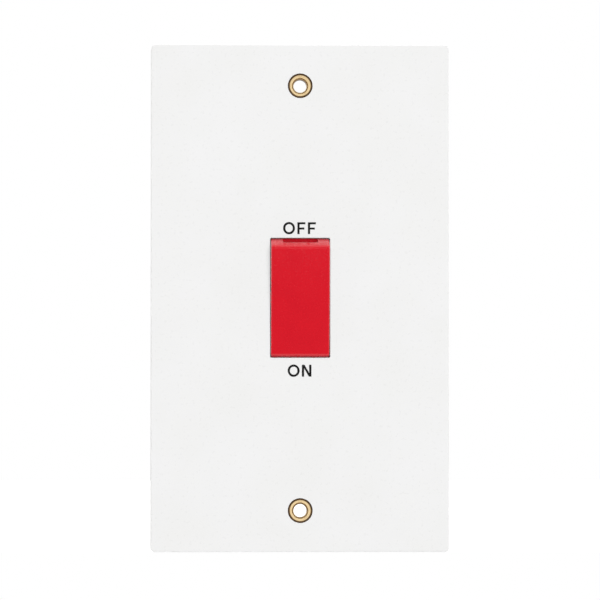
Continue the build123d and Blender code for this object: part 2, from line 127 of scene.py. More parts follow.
def add_node(
    tree: bpy.types.NodeTree, kind: str, inputs: dict[str | int, object] | None = None, **settings: object,
) -> bpy.types.Node:
    """Add a shader node with its settings and links.

    Args:
        tree: The node tree it goes in.
        kind: Blender's name for the node type.
        inputs: Socket name or number, to a constant or to the output socket that feeds it.
        **settings: Attributes of the node itself.

    Returns:
        The new node.
    """
    node = tree.nodes.new(kind)
    for name, value in settings.items():
        setattr(node, name, value)
    for key, value in (inputs or {}).items():
        if isinstance(value, Socket):
            tree.links.new(value, node.inputs[key])
        else:
            node.inputs[key].default_value = value
    return node


class Recipe:
    """A material being made: its node tree, its surface shader and the patterns that feed it."""

    def __init__(self, name: str) -> None:
        """Start a material with one surface shader.

        Args:
            name: The finish's name.
        """
        self.material = bpy.data.materials.new(name)
        self.material.use_nodes = True
        self.tree = self.material.node_tree
        self.shader = self.tree.nodes["Principled BSDF"]

    def noise(self, size_mm: float, layers: float = 2.0, stretch: Point = (1, 1, 1)) -> Socket:
        """Clouds of a real size on the object.

        Args:
            size_mm: Width of one cloud in millimetres.
            layers: How many finer layers it has.
            stretch: How many times finer it is along each axis.

        Returns:
            The socket of a factor that stays mostly between NOISE_LOW and NOISE_HIGH.
        """
        place = add_node(self.tree, "ShaderNodeTexCoord").outputs["Object"]
        mapped = add_node(self.tree, "ShaderNodeMapping", {"Vector": place, "Scale": stretch})
        inputs = {"Vector": mapped.outputs["Vector"], "Scale": 1.0 / (size_mm * MM), "Detail": layers}
        return add_node(self.tree, "ShaderNodeTexNoise", inputs).outputs["Fac"]

    def span(
        self, value: Socket, low: float, high: float, start: float = NOISE_LOW, end: float = NOISE_HIGH,
    ) -> Socket:
        """Map part of a factor's range to other values.

        Args:
            value: The factor.
            low: What the start of the range becomes.
            high: What the end of the range becomes.
            start: Where the range starts.
            end: Where it ends.

        Returns:
            The mapped value's socket.
        """
        inputs = {"Value": value, "From Min": start, "From Max": end, "To Min": low, "To Max": high}
        return add_node(self.tree, "ShaderNodeMapRange", inputs).outputs["Result"]

    def blend(self, share: Socket, first: Colour | Socket, second: Colour | Socket) -> Socket:
        """Blend two colours.

        Args:
            share: How much of the second colour shows.
            first: Colour at share 0.
            second: Colour at share 1.

        Returns:
            The blended colour's socket.
        """
        node = add_node(self.tree, "ShaderNodeMix", {0: share, 6: first, 7: second}, data_type="RGBA")
        return node.outputs[2]

    def rough(self, pattern: Socket, middle: float, swing: float) -> None:
        """Let the surface's roughness follow a pattern.

        Args:
            pattern: The pattern.
            middle: The roughness where the pattern is in its middle.
            swing: How far the roughness goes down and up from there.
        """
        self.feed("Roughness", self.span(pattern, middle - swing, middle + swing))

    def relief(self, height: Socket, depth_mm: float, strength: float) -> None:
        """Give the surface a fine relief.

        Args:
            height: The pattern.
            depth_mm: Depth from the pattern's low to its high places.
            strength: Share of that depth that shows.
        """
        inputs = {"Height": height, "Distance": depth_mm * MM, "Strength": strength}
        self.feed("Normal", add_node(self.tree, "ShaderNodeBump", inputs).outputs["Normal"])

    def feed(self, socket: str, source: Socket) -> None:
        """Link a pattern to a socket of the surface shader."""
        self.tree.links.new(source, self.shader.inputs[socket])

    def set(self, **values: object) -> None:
        """Set constants on the surface shader, by socket name with underscores for spaces."""
        for name, value in values.items():
            self.shader.inputs[name.replace("_", " ")].default_value = value


@dataclass(frozen=True)
class MouldedPlastic:
    """A plastic formed in a steel tool: an even colour with a faint mottle and the tool's skin."""

    name: str
    colour: str
    shade: str
    roughness: float
    roughness_swing: float
    IOR: float
    specular: float
    mottle_mm: float
    skin_mm: float
    skin_depth_mm: float
    skin_strength: float
    see_in_mm: float = 0.0

    def build(self) -> bpy.types.Material:
        """Make the material.

        Returns:
            The material.
        """
        recipe = Recipe(self.name)
        mottle = recipe.span(recipe.noise(self.mottle_mm, layers=3.0), 0.0, 1.0)
        recipe.feed("Base Color", recipe.blend(mottle, linear(self.shade), linear(self.colour)))
        skin = recipe.noise(self.skin_mm)
        recipe.rough(skin, self.roughness, self.roughness_swing)
        recipe.relief(skin, self.skin_depth_mm, self.skin_strength)
        recipe.set(IOR=self.IOR, Specular_IOR_Level=self.specular)
        if self.see_in_mm:
            recipe.set(Subsurface_Weight=0.35, Subsurface_Scale=self.see_in_mm * MM)
        return recipe.material


@dataclass(frozen=True)
class WorkedMetal:
    """A metal with fine lines from how it was drawn, turned or rolled, and clouds of tarnish."""

    name: str
    colour: str
    shade: str
    tarnish: str
    roughness: float
    roughness_swing: float
    line_mm: float
    line_stretch: Point
    line_depth_mm: float
    line_strength: float
    cloud_mm: float
    tarnish_share: float

    def build(self) -> bpy.types.Material:
        """Make the material.

        Returns:
            The material.
        """
        recipe = Recipe(self.name)
        lines = recipe.noise(self.line_mm, stretch=self.line_stretch)
        clouds = recipe.noise(self.cloud_mm, layers=4.0)
        bright = recipe.blend(recipe.span(lines, 0.0, 1.0), linear(self.shade), linear(self.colour))
        share = recipe.span(clouds, 0.0, self.tarnish_share, start=0.5, end=0.75)
        recipe.feed("Base Color", recipe.blend(share, bright, linear(self.tarnish)))
        recipe.rough(clouds, self.roughness, self.roughness_swing)
        recipe.relief(lines, self.line_depth_mm, self.line_strength)
        recipe.set(Metallic=1.0)
        return recipe.material


@dataclass(frozen=True)
class PrintedInk:
    """Pad-printed ink: a thin film that is a little thinner in small spots."""

    name: str
    colour: str
    thin: str
    spot_mm: float
    roughness: float

    def build(self) -> bpy.types.Material:
        """Make the material.

        Returns:
            The material.
        """
        recipe = Recipe(self.name)
        spots = recipe.noise(self.spot_mm, layers=3.0)
        share = recipe.span(spots, 0.0, 1.0, start=0.55, end=0.8)
        recipe.feed("Base Color", recipe.blend(share, linear(self.colour), linear(self.thin)))
        recipe.rough(spots, self.roughness, swing=0.08)
        recipe.relief(spots, depth_mm=0.01, strength=0.3)
        return recipe.material


Finish = MouldedPlastic | WorkedMetal | PrintedInk

# Urea moulding, pressed in a polished tool: a clean white with a satin gloss and a very faint orange peel.
UREA_WHITE = MouldedPlastic(
    "white_urea_moulding", colour="F3F3F3", shade="F1F1F0", roughness=0.30, roughness_swing=0.04,
    IOR=1.54, specular=0.4, mottle_mm=14.0, skin_mm=0.9, skin_depth_mm=0.004, skin_strength=0.5,
)
# Red polycarbonate, injection moulded: deep and even, glossier than the plate, with soft highlights.
RED_POLYCARBONATE = MouldedPlastic(
    "red_polycarbonate_moulding", colour="DC1526", shade="D81325", roughness=0.26, roughness_swing=0.02,
    IOR=1.585, specular=0.5, mottle_mm=5.0, skin_mm=0.7, skin_depth_mm=0.002, skin_strength=0.08,
)
# Black phenolic, pressed: nearly matt, slightly brown, with a dusty mottle from the wood-flour filler.
BLACK_PHENOLIC = MouldedPlastic(
    "black_phenolic_moulding", colour="2B2928", shade="211F1E", roughness=0.48, roughness_swing=0.07,
    IOR=1.6, specular=0.5, mottle_mm=1.6, skin_mm=0.35, skin_depth_mm=0.012, skin_strength=0.6,
)
# Natural nylon: milky and slightly see-through at its edges.
NATURAL_NYLON = MouldedPlastic(
    "natural_nylon_moulding", colour="EDE7D6", shade="E4DCC6", roughness=0.42, roughness_swing=0.05,
    IOR=1.53, specular=0.5, mottle_mm=1.2, skin_mm=0.3, skin_depth_mm=0.006, skin_strength=0.4, see_in_mm=0.5,
)
# Rolled brass sheet, drawn into an eyelet: a bright yellow ring with faint turning marks.
ROLLED_BRASS = WorkedMetal(
    "rolled_brass_eyelet", colour="F9E0B2", shade="F0D19C", tarnish="C9A067",
    roughness=0.24, roughness_swing=0.05, line_mm=0.25, line_stretch=(1, 4, 1),
    line_depth_mm=0.004, line_strength=0.4, cloud_mm=1.4, tarnish_share=0.25,
)
# The same brass made darker and browner to paint the shade in the groove round its rim, down its bore and on
# its clinched tail; it also carries a little tarnish.
DARK_BRASS_PAINTED_SHADE = WorkedMetal(
    "brass_painted_shade", colour="A88460", shade="8A6A48", tarnish="5C4630",
    roughness=0.42, roughness_swing=0.08, line_mm=0.25, line_stretch=(1, 4, 1),
    line_depth_mm=0.006, line_strength=0.5, cloud_mm=0.9, tarnish_share=0.6,
)
# Brass bar, drawn and sawn into terminal blocks: duller and greener, with saw lines across.
DRAWN_BRASS = WorkedMetal(
    "drawn_brass_block", colour="D9BC78", shade="C9A862", tarnish="9A7A45",
    roughness=0.30, roughness_swing=0.07, line_mm=0.22, line_stretch=(1, 1, 9),
    line_depth_mm=0.010, line_strength=0.5, cloud_mm=2.4, tarnish_share=0.4,
)
# Hard copper strip, blanked and bent: pink with brown tarnish and lines along the strip.
COPPER_STRIP = WorkedMetal(
    "rolled_copper_strip", colour="DE9A7C", shade="CF8567", tarnish="8B4F38",
    roughness=0.27, roughness_swing=0.06, line_mm=0.16, line_stretch=(9, 1, 1),
    line_depth_mm=0.008, line_strength=0.5, cloud_mm=1.8, tarnish_share=0.45,
)
# Fine silver button, cold headed: pale and soft, barely yellow.
SILVER_BUTTON = WorkedMetal(
    "headed_silver_button", colour="E6E4DE", shade="DAD7CF", tarnish="A9A297",
    roughness=0.26, roughness_swing=0.06, line_mm=0.2, line_stretch=(1, 6, 1),
    line_depth_mm=0.006, line_strength=0.4, cloud_mm=0.8, tarnish_share=0.3,
)
# Oiled spring steel wire: grey with draw lines.
SPRING_STEEL = WorkedMetal(
    "drawn_spring_steel_wire", colour="A4A6A9", shade="8F9194", tarnish="5E5A55",
    roughness=0.30, roughness_swing=0.06, line_mm=0.12, line_stretch=(6, 6, 1),
    line_depth_mm=0.005, line_strength=0.5, cloud_mm=0.7, tarnish_share=0.35,
)
# Zinc-plated steel with a clear passivation: bluish grey and cloudy.
ZINC_STEEL = WorkedMetal(
    "zinc_plated_steel_screw", colour="C3C8CC", shade="B2B7BC", tarnish="8E9296",
    roughness=0.33, roughness_swing=0.07, line_mm=0.12, line_stretch=(1, 5, 1),
    line_depth_mm=0.006, line_strength=0.5, cloud_mm=0.9, tarnish_share=0.35,
)
# Black pad-printing ink on the plate: near black and slightly matt.
BLACK_INK = PrintedInk(
    "black_pad_printed_ink", colour="0B0C0B", thin="161614", spot_mm=0.5, roughness=0.55,
)


class Shelf:
    """Finishes made so far, so that each is built once and shared."""

    def __init__(self) -> None:
        """Start with an empty shelf."""
        self._made: dict[str, bpy.types.Material] = {}

    def take(self, finish: Finish) -> bpy.types.Material:
        """Give a finish's material, and build it the first time.

        Args:
            finish: The finish.

        Returns:
            Its material.
        """
        if finish.name not in self._made:
            self._made[finish.name] = finish.build()
        return self._made[finish.name]


def round_turn(steps: int) -> list[float]:
    """Angles of the steps round one full turn."""
    return [FULL_TURN * step / steps for step in range(steps)]


def band(here: int, there: int, count: int) -> list[Face]:
    """Faces between two rings of points.

    Args:
        here: Number of the first ring's first point.
        there: Number of the second ring's first point.
        count: How many points each ring has.

    Returns:
        One face for each step round the rings.
    """
    faces = []
    for step in range(count):
        following = (step + 1) % count
        faces.append([here + step, there + step, there + following, here + following])
    return faces


def stacked(rings: list[list[Point]], joined: bool) -> Shape:
    """Skin over rings of points that follow each other.

    Args:
        rings: The rings, with the same count of points in each.
        joined: Whether the last ring meets the first. If not, a flat face closes each end.

    Returns:
        Points and faces.
    """
    count, last = len(rings[0]), (len(rings) - 1) * len(rings[0])
    faces = []
    for row in range(len(rings) - 1):
        faces += band(row * count, (row + 1) * count, count)
    if joined:
        faces += band(last, 0, count)
    else:
        faces += [list(range(count)), list(range(last + count - 1, last - 1, -1))]
    return [point for ring in rings for point in ring], faces


def turned(profile: list[Flat], steps: int, joined: bool) -> Shape:
    """Turn a profile about the Y axis.

    Args:
        profile: Radius and depth of each corner, in order.
        steps: How many segments the full turn has.
        joined: Whether the last corner meets the first. If not, a flat disc closes each end.

    Returns:
        Points and faces.
    """
    rings = [
        [(radius * math.cos(turn), depth, radius * math.sin(turn)) for turn in round_turn(steps)]
        for radius, depth in profile
    ]
    return stacked(rings, joined)


def tube(centres: list[Vector], radius: float, sides: int) -> Shape:
    """Round bar of one radius along a line wound about the Y axis.

    Args:
        centres: Points on its middle line.
        radius: Its radius.
        sides: How many sides its section has.

    Returns:
        Points and faces.
    """
    rings: list[list[Point]] = []
    last = len(centres) - 1
    for number, centre in enumerate(centres):
        along = (centres[min(number + 1, last)] - centres[max(number - 1, 0)]).normalized()
        outward = Vector((centre.x, 0, centre.z)).normalized()
        across = along.cross(outward).normalized()
        ring = []
        for turn in round_turn(sides):
            spoke = centre + outward * radius * math.cos(turn)
            ring.append(tuple(spoke + across * radius * math.sin(turn)))
        rings.append(ring)
    return stacked(rings, False)


def prism(loops: list[list[Flat]], front: float, rear: float) -> Shape:
    """Flat outline, or the ring between two outlines, drawn out along Y.

    Args:
        loops: The outer outline, and a ring's inner one with the same count of points.
        front: Depth of its front face.
        rear: Depth of its rear face.

    Returns:
        Points and faces.
    """
    points = [(x, y, z) for y in (front, rear) for loop in loops for x, z in loop]
    count = len(loops[0])
    half = count * len(loops)
    faces = band(0, half, count)
    if len(loops) == 1:
        faces += [list(range(count)), list(range(2 * count - 1, count - 1, -1))]
    else:
        faces += band(0, count, count) + band(half, half + count, count) + band(count, half + count, count)
    return points, faces


@dataclass
class SubAssembly:
    """Pieces that belong together on the object. Its classes hold their sizes in millimetres."""

    shelf: Shelf

    def keep(self, node: str, finish: Finish, slot: str) -> bpy.types.Object:
        """Show a CAD node as it is, with a better surface.

        Args:
            node: The node's name.
            finish: What it is made of.
            slot: The record's material slot; not used.

        Returns:
            The node's object.
        """
        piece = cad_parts[node]
        for polygon in piece.data.polygons:
            polygon.use_smooth = True
        for place in piece.material_slots:
            place.material = self.shelf.take(finish)
        LOG.info("%s keeps its solid and is finished in %s", node, finish.name)
        return piece

    def make(
        self, name: str, shape: Shape, finish: Finish, slot: str, body: str,
        place: Matrix | None = None, replaced: tuple[str, ...] = (), sharp: float = SHARP,
    ) -> bpy.types.Object:
        """Add a piece of its own.

        Args:
            name: The piece's name.
            shape: Its points, in millimetres, and faces.
            finish: What it is made of.
            slot: The record's material slot; not used.
            body: The body that it rides on.
            place: Where its own origin lies and how it is turned.
            replaced: CAD nodes that it stands for.
            sharp: Edges that turn by more than this many degrees stay sharp.

        Returns:
            The new object.
        """
        points, faces = shape
        mesh = bpy.data.meshes.new(name)
        mesh.from_pydata([Vector(point) * MM for point in points], [], faces)
        solid = bmesh.new()
        solid.from_mesh(mesh)
        bmesh.ops.recalc_face_normals(solid, faces=solid.faces)
        solid.to_mesh(mesh)
        solid.free()
        mesh.polygons.foreach_set("use_smooth", [True] * len(mesh.polygons))
        mesh.set_sharp_from_angle(angle=math.radians(sharp))
        mesh.materials.append(self.shelf.take(finish))
        piece = bpy.data.objects.new(name, mesh)
        bpy.context.scene.collection.objects.link(piece)
        if place is not None:
            piece.matrix_world = place
        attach(piece, body)
        if replaced:
            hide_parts(*replaced)
        LOG.info("%s rides on %s and is finished in %s", name, body, finish.name)
        return piece

    def fasten(self, name: str, node: str, shape: Shape, body: str) -> None:
        """Put a detailed steel screw in the place of its CAD node.

        Args:
            name: The piece's name.
            node: The CAD node.
            shape: Its points, in millimetres, and faces.
            body: The body that it rides on.
        """
        self.make(name, shape, ZINC_STEEL, "screw_steel", body, on_axis(node), (node,), SCREW_SHARP)


def on_axis(node: str, depth: float | None = None) -> Matrix:
    """Place on a node's own axis from front to rear.

    Args:
        node: The CAD node whose middle gives the axis.
        depth: How far behind the wall plane it is, in metres, or None for the node's front end.

    Returns:
        The placement.
    """
    low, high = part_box(node)
    middle = (low + high) / 2
    return Matrix.Translation((middle.x, low.y if depth is None else depth, middle.z))


@dataclass
class Lettering(SubAssembly):
    """The words ON and OFF, printed on the plate above and below the rocker."""

    face: float = -9.0
    sink: float = 0.02
    film: float = 0.03
    cap_height: float = 3.35
    stroke: float = 0.62
    # Heights of the two words' base lines.
    off_base: float = 18.10
    on_base: float = -22.34
    # Middle line and width of each O, and left edge and width of each straight letter.
    off_o: Flat = (-3.18, 3.35)
    off_first_f: Flat = (-0.80, 2.26)
    off_second_f: Flat = (2.19, 2.26)
    on_o: Flat = (-1.86, 3.38)
    on_n: Flat = (0.48, 2.70)
    # An O is taller than a straight letter by its overshoots, and its stroke is thinner above and below.
    round_overshoot: float = 0.07
    round_thinning: float = 0.96
    round_steps: int = 72
    # An F's arms: their thickness, how far down the middle one is, and how much shorter it is.
    arm: float = 0.56
    arm_drop: float = 0.445
    arm_short: float = 0.3
    # An N's diagonal: its width across in strokes, and how far its corners are trimmed.
    diagonal: float = 1.25
    diagonal_trim: float = 0.05

    def build(self) -> None:
        """Print both words."""
        self.letter("word_off_o", self.round(self.off_o, self.off_base))
        self.letter("word_off_first_f", self.straight_f(self.off_first_f, self.off_base))
        self.letter("word_off_second_f", self.straight_f(self.off_second_f, self.off_base))
        self.letter("word_on_o", self.round(self.on_o, self.on_base))
        self.letter("word_on_n", self.straight_n(self.on_n, self.on_base))

    def letter(self, name: str, loops: list[list[Flat]]) -> None:
        """Print one letter.

        Args:
            name: The piece's name.
            loops: Its outer outline, and its inner one if it is a ring, with the same count of points.
        """
        shape = prism(loops, self.face - self.film, self.face + self.sink)
        self.make(name, shape, BLACK_INK, "plate_white", HOUSING)

    def round(self, across: Flat, base: float) -> list[list[Flat]]:
        """Outlines of a letter O.

        Args:
            across: Its middle line and its width.
            base: The height of the word's base line.

        Returns:
            The outer and the inner outline.
        """
        middle, width = across
        height = self.cap_height + 2 * self.round_overshoot
        centre = base + self.cap_height / 2
        loops = []
        for inset in (0.0, self.stroke):
            half_width, half_height = width / 2 - inset, height / 2 - inset * self.round_thinning
            loops.append([
                (middle + half_width * math.cos(turn), centre + half_height * math.sin(turn))
                for turn in round_turn(self.round_steps)
            ])
        return loops

    def straight_f(self, across: Flat, base: float) -> list[list[Flat]]:
        """Outline of a letter F.

        Args:
            across: Its left edge and its width.
            base: The height of the word's base line.

        Returns:
            One outline.
        """
        left, width = across
        stem, right, short = left + self.stroke, left + width, left + width - self.arm_short
        top = base + self.cap_height
        middle_arm = top - self.arm_drop * self.cap_height
        return [[
            (left, base), (stem, base), (stem, middle_arm - self.arm), (short, middle_arm - self.arm),
            (short, middle_arm), (stem, middle_arm), (stem, top - self.arm), (right, top - self.arm),
            (right, top), (left, top),
        ]]

    def straight_n(self, across: Flat, base: float) -> list[list[Flat]]:
        """Outline of a letter N.

        Args:
            across: Its left edge and its width.
            base: The height of the word's base line.

        Returns:
            One outline.
        """
        left, width = across
        top, right, trim = base + self.cap_height, left + width, self.diagonal_trim
        lean = self.stroke * self.diagonal
        drop = self.cap_height * lean / (width - 2 * trim)
        return [[
            (left, base), (left + self.stroke, base), (left + self.stroke, top - drop),
            (right - lean + trim, base), (right, base), (right, top), (right - self.stroke, top),
            (right - self.stroke, base + drop), (left + lean - trim, top), (left, top),
        ]]


@dataclass
class FrontPlate(SubAssembly):
    """The white plate and its two brass eyelets, whose rolled rims sit in the plate's countersinks."""

    plate_face: float = -9.0
    # Bore and throat, with a short flare between them.
    bore: float = 1.85
    bore_flare: float = 0.03
    throat: float = -7.8
    throat_run: float = 0.15
    # Countersunk cone in front of the throat.
    cone_foot: float = 2.10
    cone_front: float = -8.46
    cone_steps: int = 6
    cone_bulge: float = 0.04
    # Rolled crest: where it starts, in its own radii, and the share of a half turn that it goes round.
    crest: float = 3.02
    crest_rise: float = 0.12
    roll: float = 0.20
    roll_start: Flat = (-0.81, 0.41)
    roll_turn: float = 0.80
    roll_steps: int = 10
    # Groove between crest and rim: corners from the roll's outer side, and from the rim.
    groove_depth: float = 0.24
    groove_inner: tuple[Flat, ...] = ((0.02, -0.06), (0.08, 0.0))
    groove_outer: tuple[Flat, ...] = ((-0.05, 0.0), (0.0, 0.03))
    rim: float = 3.5
    rim_depth: float = 0.3
    # How far outside the crest the darker brass of the painted shade begins.
    painted_shade_beyond: float = 0.07
    # Barrel and clinched tail: corners from the shoulder, from the tail's rear and from the bore's end.
    barrel: float = 2.35
    shoulder: float = -4.6
    tail: float = 2.9
    tail_rear: float = -4.2
    curl_outside: tuple[Flat, ...] = ((-0.08, 0.01), (0.0, 0.12), (-0.07, 0.26))
    curl_rear: tuple[Flat, ...] = ((-0.32, -0.02), (-0.55, -0.02))
    curl_inside: tuple[Flat, ...] = ((0.26, -0.12), (0.08, -0.32), (0.0, -0.6))
    steps: int = 96

    def build(self) -> None:
        """Dress the plate and add both eyelets."""
        self.keep("front_plate", UREA_WHITE, "plate_white")
        for end in ("upper", "lower"):
            self.eyelet(end)
        Lettering(self.shelf).build()

    def eyelet(self, end: str) -> None:
        """Add one eyelet.

        Args:
            end: Which end of the plate it is at.
        """
        shape = turned(self.section(), self.steps, True)
        piece = self.make(
            f"{end}_brass_eyelet", shape, ROLLED_BRASS, "eyelet_brass", HOUSING,
            on_axis(f"{end}_eyelet", 0.0), (f"{end}_eyelet",),
        )
        piece.data.materials.append(self.shelf.take(DARK_BRASS_PAINTED_SHADE))
        # Faces beyond the crest's groove and behind the throat take the darker brass as painted shade.
        for polygon in piece.data.polygons:
            radius = math.hypot(polygon.center.x, polygon.center.z) / MM
            depth = polygon.center.y / MM
            if radius > self.crest + self.painted_shade_beyond or depth > self.throat:
                polygon.material_index = 1

    def section(self) -> list[Flat]:
        """Section of an eyelet: bore, throat, countersunk cone, rolled rim, barrel and clinched tail.

        Returns:
            Radius and depth of each corner.
        """
        top = self.plate_face - self.crest_rise
        profile = [(self.bore, self.throat + self.throat_run), (self.bore + self.bore_flare, self.throat)]
        start = (self.cone_foot, self.cone_front)
        end = (self.crest + self.roll_start[0] * self.roll, top + self.roll_start[1] * self.roll)
        for step in range(self.cone_steps):
            share = step / self.cone_steps
            bulge = self.cone_bulge * math.sin(math.pi * share)
            profile.append(tuple(near + (far - near) * share - bulge for near, far in zip(start, end)))
        for step in range(self.roll_steps + 1):
            turn = math.pi * self.roll_turn * (1 - step / self.roll_steps)
            profile.append((
                self.crest + self.roll * math.cos(turn), top + self.roll * (1 - math.sin(turn)),
            ))
        outer, groove = self.crest + self.roll, self.plate_face + self.groove_depth
        profile += [(outer + out, groove + back) for out, back in self.groove_inner]
        profile += [(self.rim + out, groove + back) for out, back in self.groove_outer]
        profile += [
            (self.rim, self.plate_face + self.rim_depth), (self.barrel, self.throat),
            (self.barrel, self.shoulder),
        ]
        profile += [(self.tail + out, self.shoulder + back) for out, back in self.curl_outside]
        profile += [(self.tail + out, self.tail_rear + back) for out, back in self.curl_rear]
        profile += [(self.bore + out, self.tail_rear + back) for out, back in self.curl_inside]
        return profile


@dataclass
class RockerGroup(SubAssembly):
    """The red rocker with the sprung plungers inside it."""

    pivot_depth: float = -4.0
    lean_degrees: float = 8.0
    # Webs behind the two grip notches, in the rocker's own axes.
    notch_half_width: float = 5.02
    notch_floor: float = 16.15
    notch_top: float = 17.05
    web_front: float = 0.6
    web_thick: float = 0.6
    # Springs, each in a tube from its seat to the back of its plunger.
    offset: float = 4.3
    seat: float = -4.6
    plunger_back: float = 2.0
    travel: float = 1.0
    end_gap: float = 0.02
    coil_radius: float = 1.67
    wire: float = 0.46
    turns: float = 6.5
    # Turns closed at each end, their rise in wire thicknesses, and how softly the open turns begin.
    closed_turns: float = 1.1
    closed_pitch: float = 1.02
    opening_ease: float = 0.25
    wire_sides: int = 14
    steps_per_turn: int = 30

    def build(self) -> None:
        """Dress the rocker and plungers and add both springs."""
        shell = self.keep("rocker", RED_POLYCARBONATE, "rocker_red")
        # The photograph shows no red light on the white plate, so the rocker casts none.
        shell.visible_diffuse = False
        for pole in Pole:
            self.keep(f"{pole.label}_plunger", NATURAL_NYLON, "plunger_nylon")
            self.spring(pole)
        self.notch_web("upper", 1)
        self.notch_web("lower", -1)

    def notch_web(self, name: str, end: int) -> None:
        """Close one of the grip notches behind with a thin web of the rocker's own red.

        Args:
            name: Which end of the rocker it is at.
            end: 1 for the upper end, -1 for the lower.
        """
        half, floor, top = self.notch_half_width, end * self.notch_floor, end * self.notch_top
        outline = [(-half, floor), (half, floor), (half, top), (-half, top)]
        shape = prism([outline], self.web_front, self.web_front + self.web_thick)
        self.make(f"{name}_notch_web", shape, RED_POLYCARBONATE, "rocker_red", ROCKER_BODY, self.place())

    def place(self) -> Matrix:
        """Placement of the rocker's own axes: its pivot, leaning as it does at rest."""
        lean = Matrix.Rotation(math.radians(self.lean_degrees), 4, "X")
        return Matrix.Translation((0, self.pivot_depth * MM, 0)) @ lean

    def spring(self, pole: Pole) -> None:
        """Add one spring, from its seat to the back of its plunger.

        Args:
            pole: Which pole's plunger it pushes.
        """
        own = Matrix.Translation((pole.value * self.offset * MM, self.seat * MM, 0))
        place = self.place() @ own
        piece = self.make(
            f"{pole.label}_coil_spring", self.coil(), SPRING_STEEL, "spring_steel", ROCKER_BODY,
            place, (f"{pole.label}_spring",), WIRE_SHARP,
        )
        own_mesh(piece)

    def coil(self) -> Shape:
        """Round wire wound along Y, with a closed turn at each end.

        Returns:
            Points and faces.
        """
        length = self.plunger_back - self.seat - 2 * self.end_gap
        radius = self.wire / 2
        open_turns = self.turns - 2 * self.closed_turns
        closed_rise = self.closed_turns * self.wire * self.closed_pitch
        open_rise = length - 2 * radius - 2 * closed_rise
        count = int(self.turns * self.steps_per_turn)
        centres = []
        for step in range(count + 1):
            turn = self.turns * step / count
            if turn <= self.closed_turns:
                rise = closed_rise * turn / self.closed_turns
            elif turn <= self.turns - self.closed_turns:
                share = (turn - self.closed_turns) / open_turns
                ease = self.opening_ease * math.sin(FULL_TURN * share) / FULL_TURN
                rise = closed_rise + open_rise * (share - ease)
            else:
                rise = closed_rise + open_rise
                rise += closed_rise * (turn - self.turns + self.closed_turns) / self.closed_turns
            angle = FULL_TURN * turn
            centres.append(Vector((
                self.coil_radius * math.cos(angle), self.end_gap + radius + rise,
                self.coil_radius * math.sin(angle),
            )))
        return tube(centres, radius, self.wire_sides)


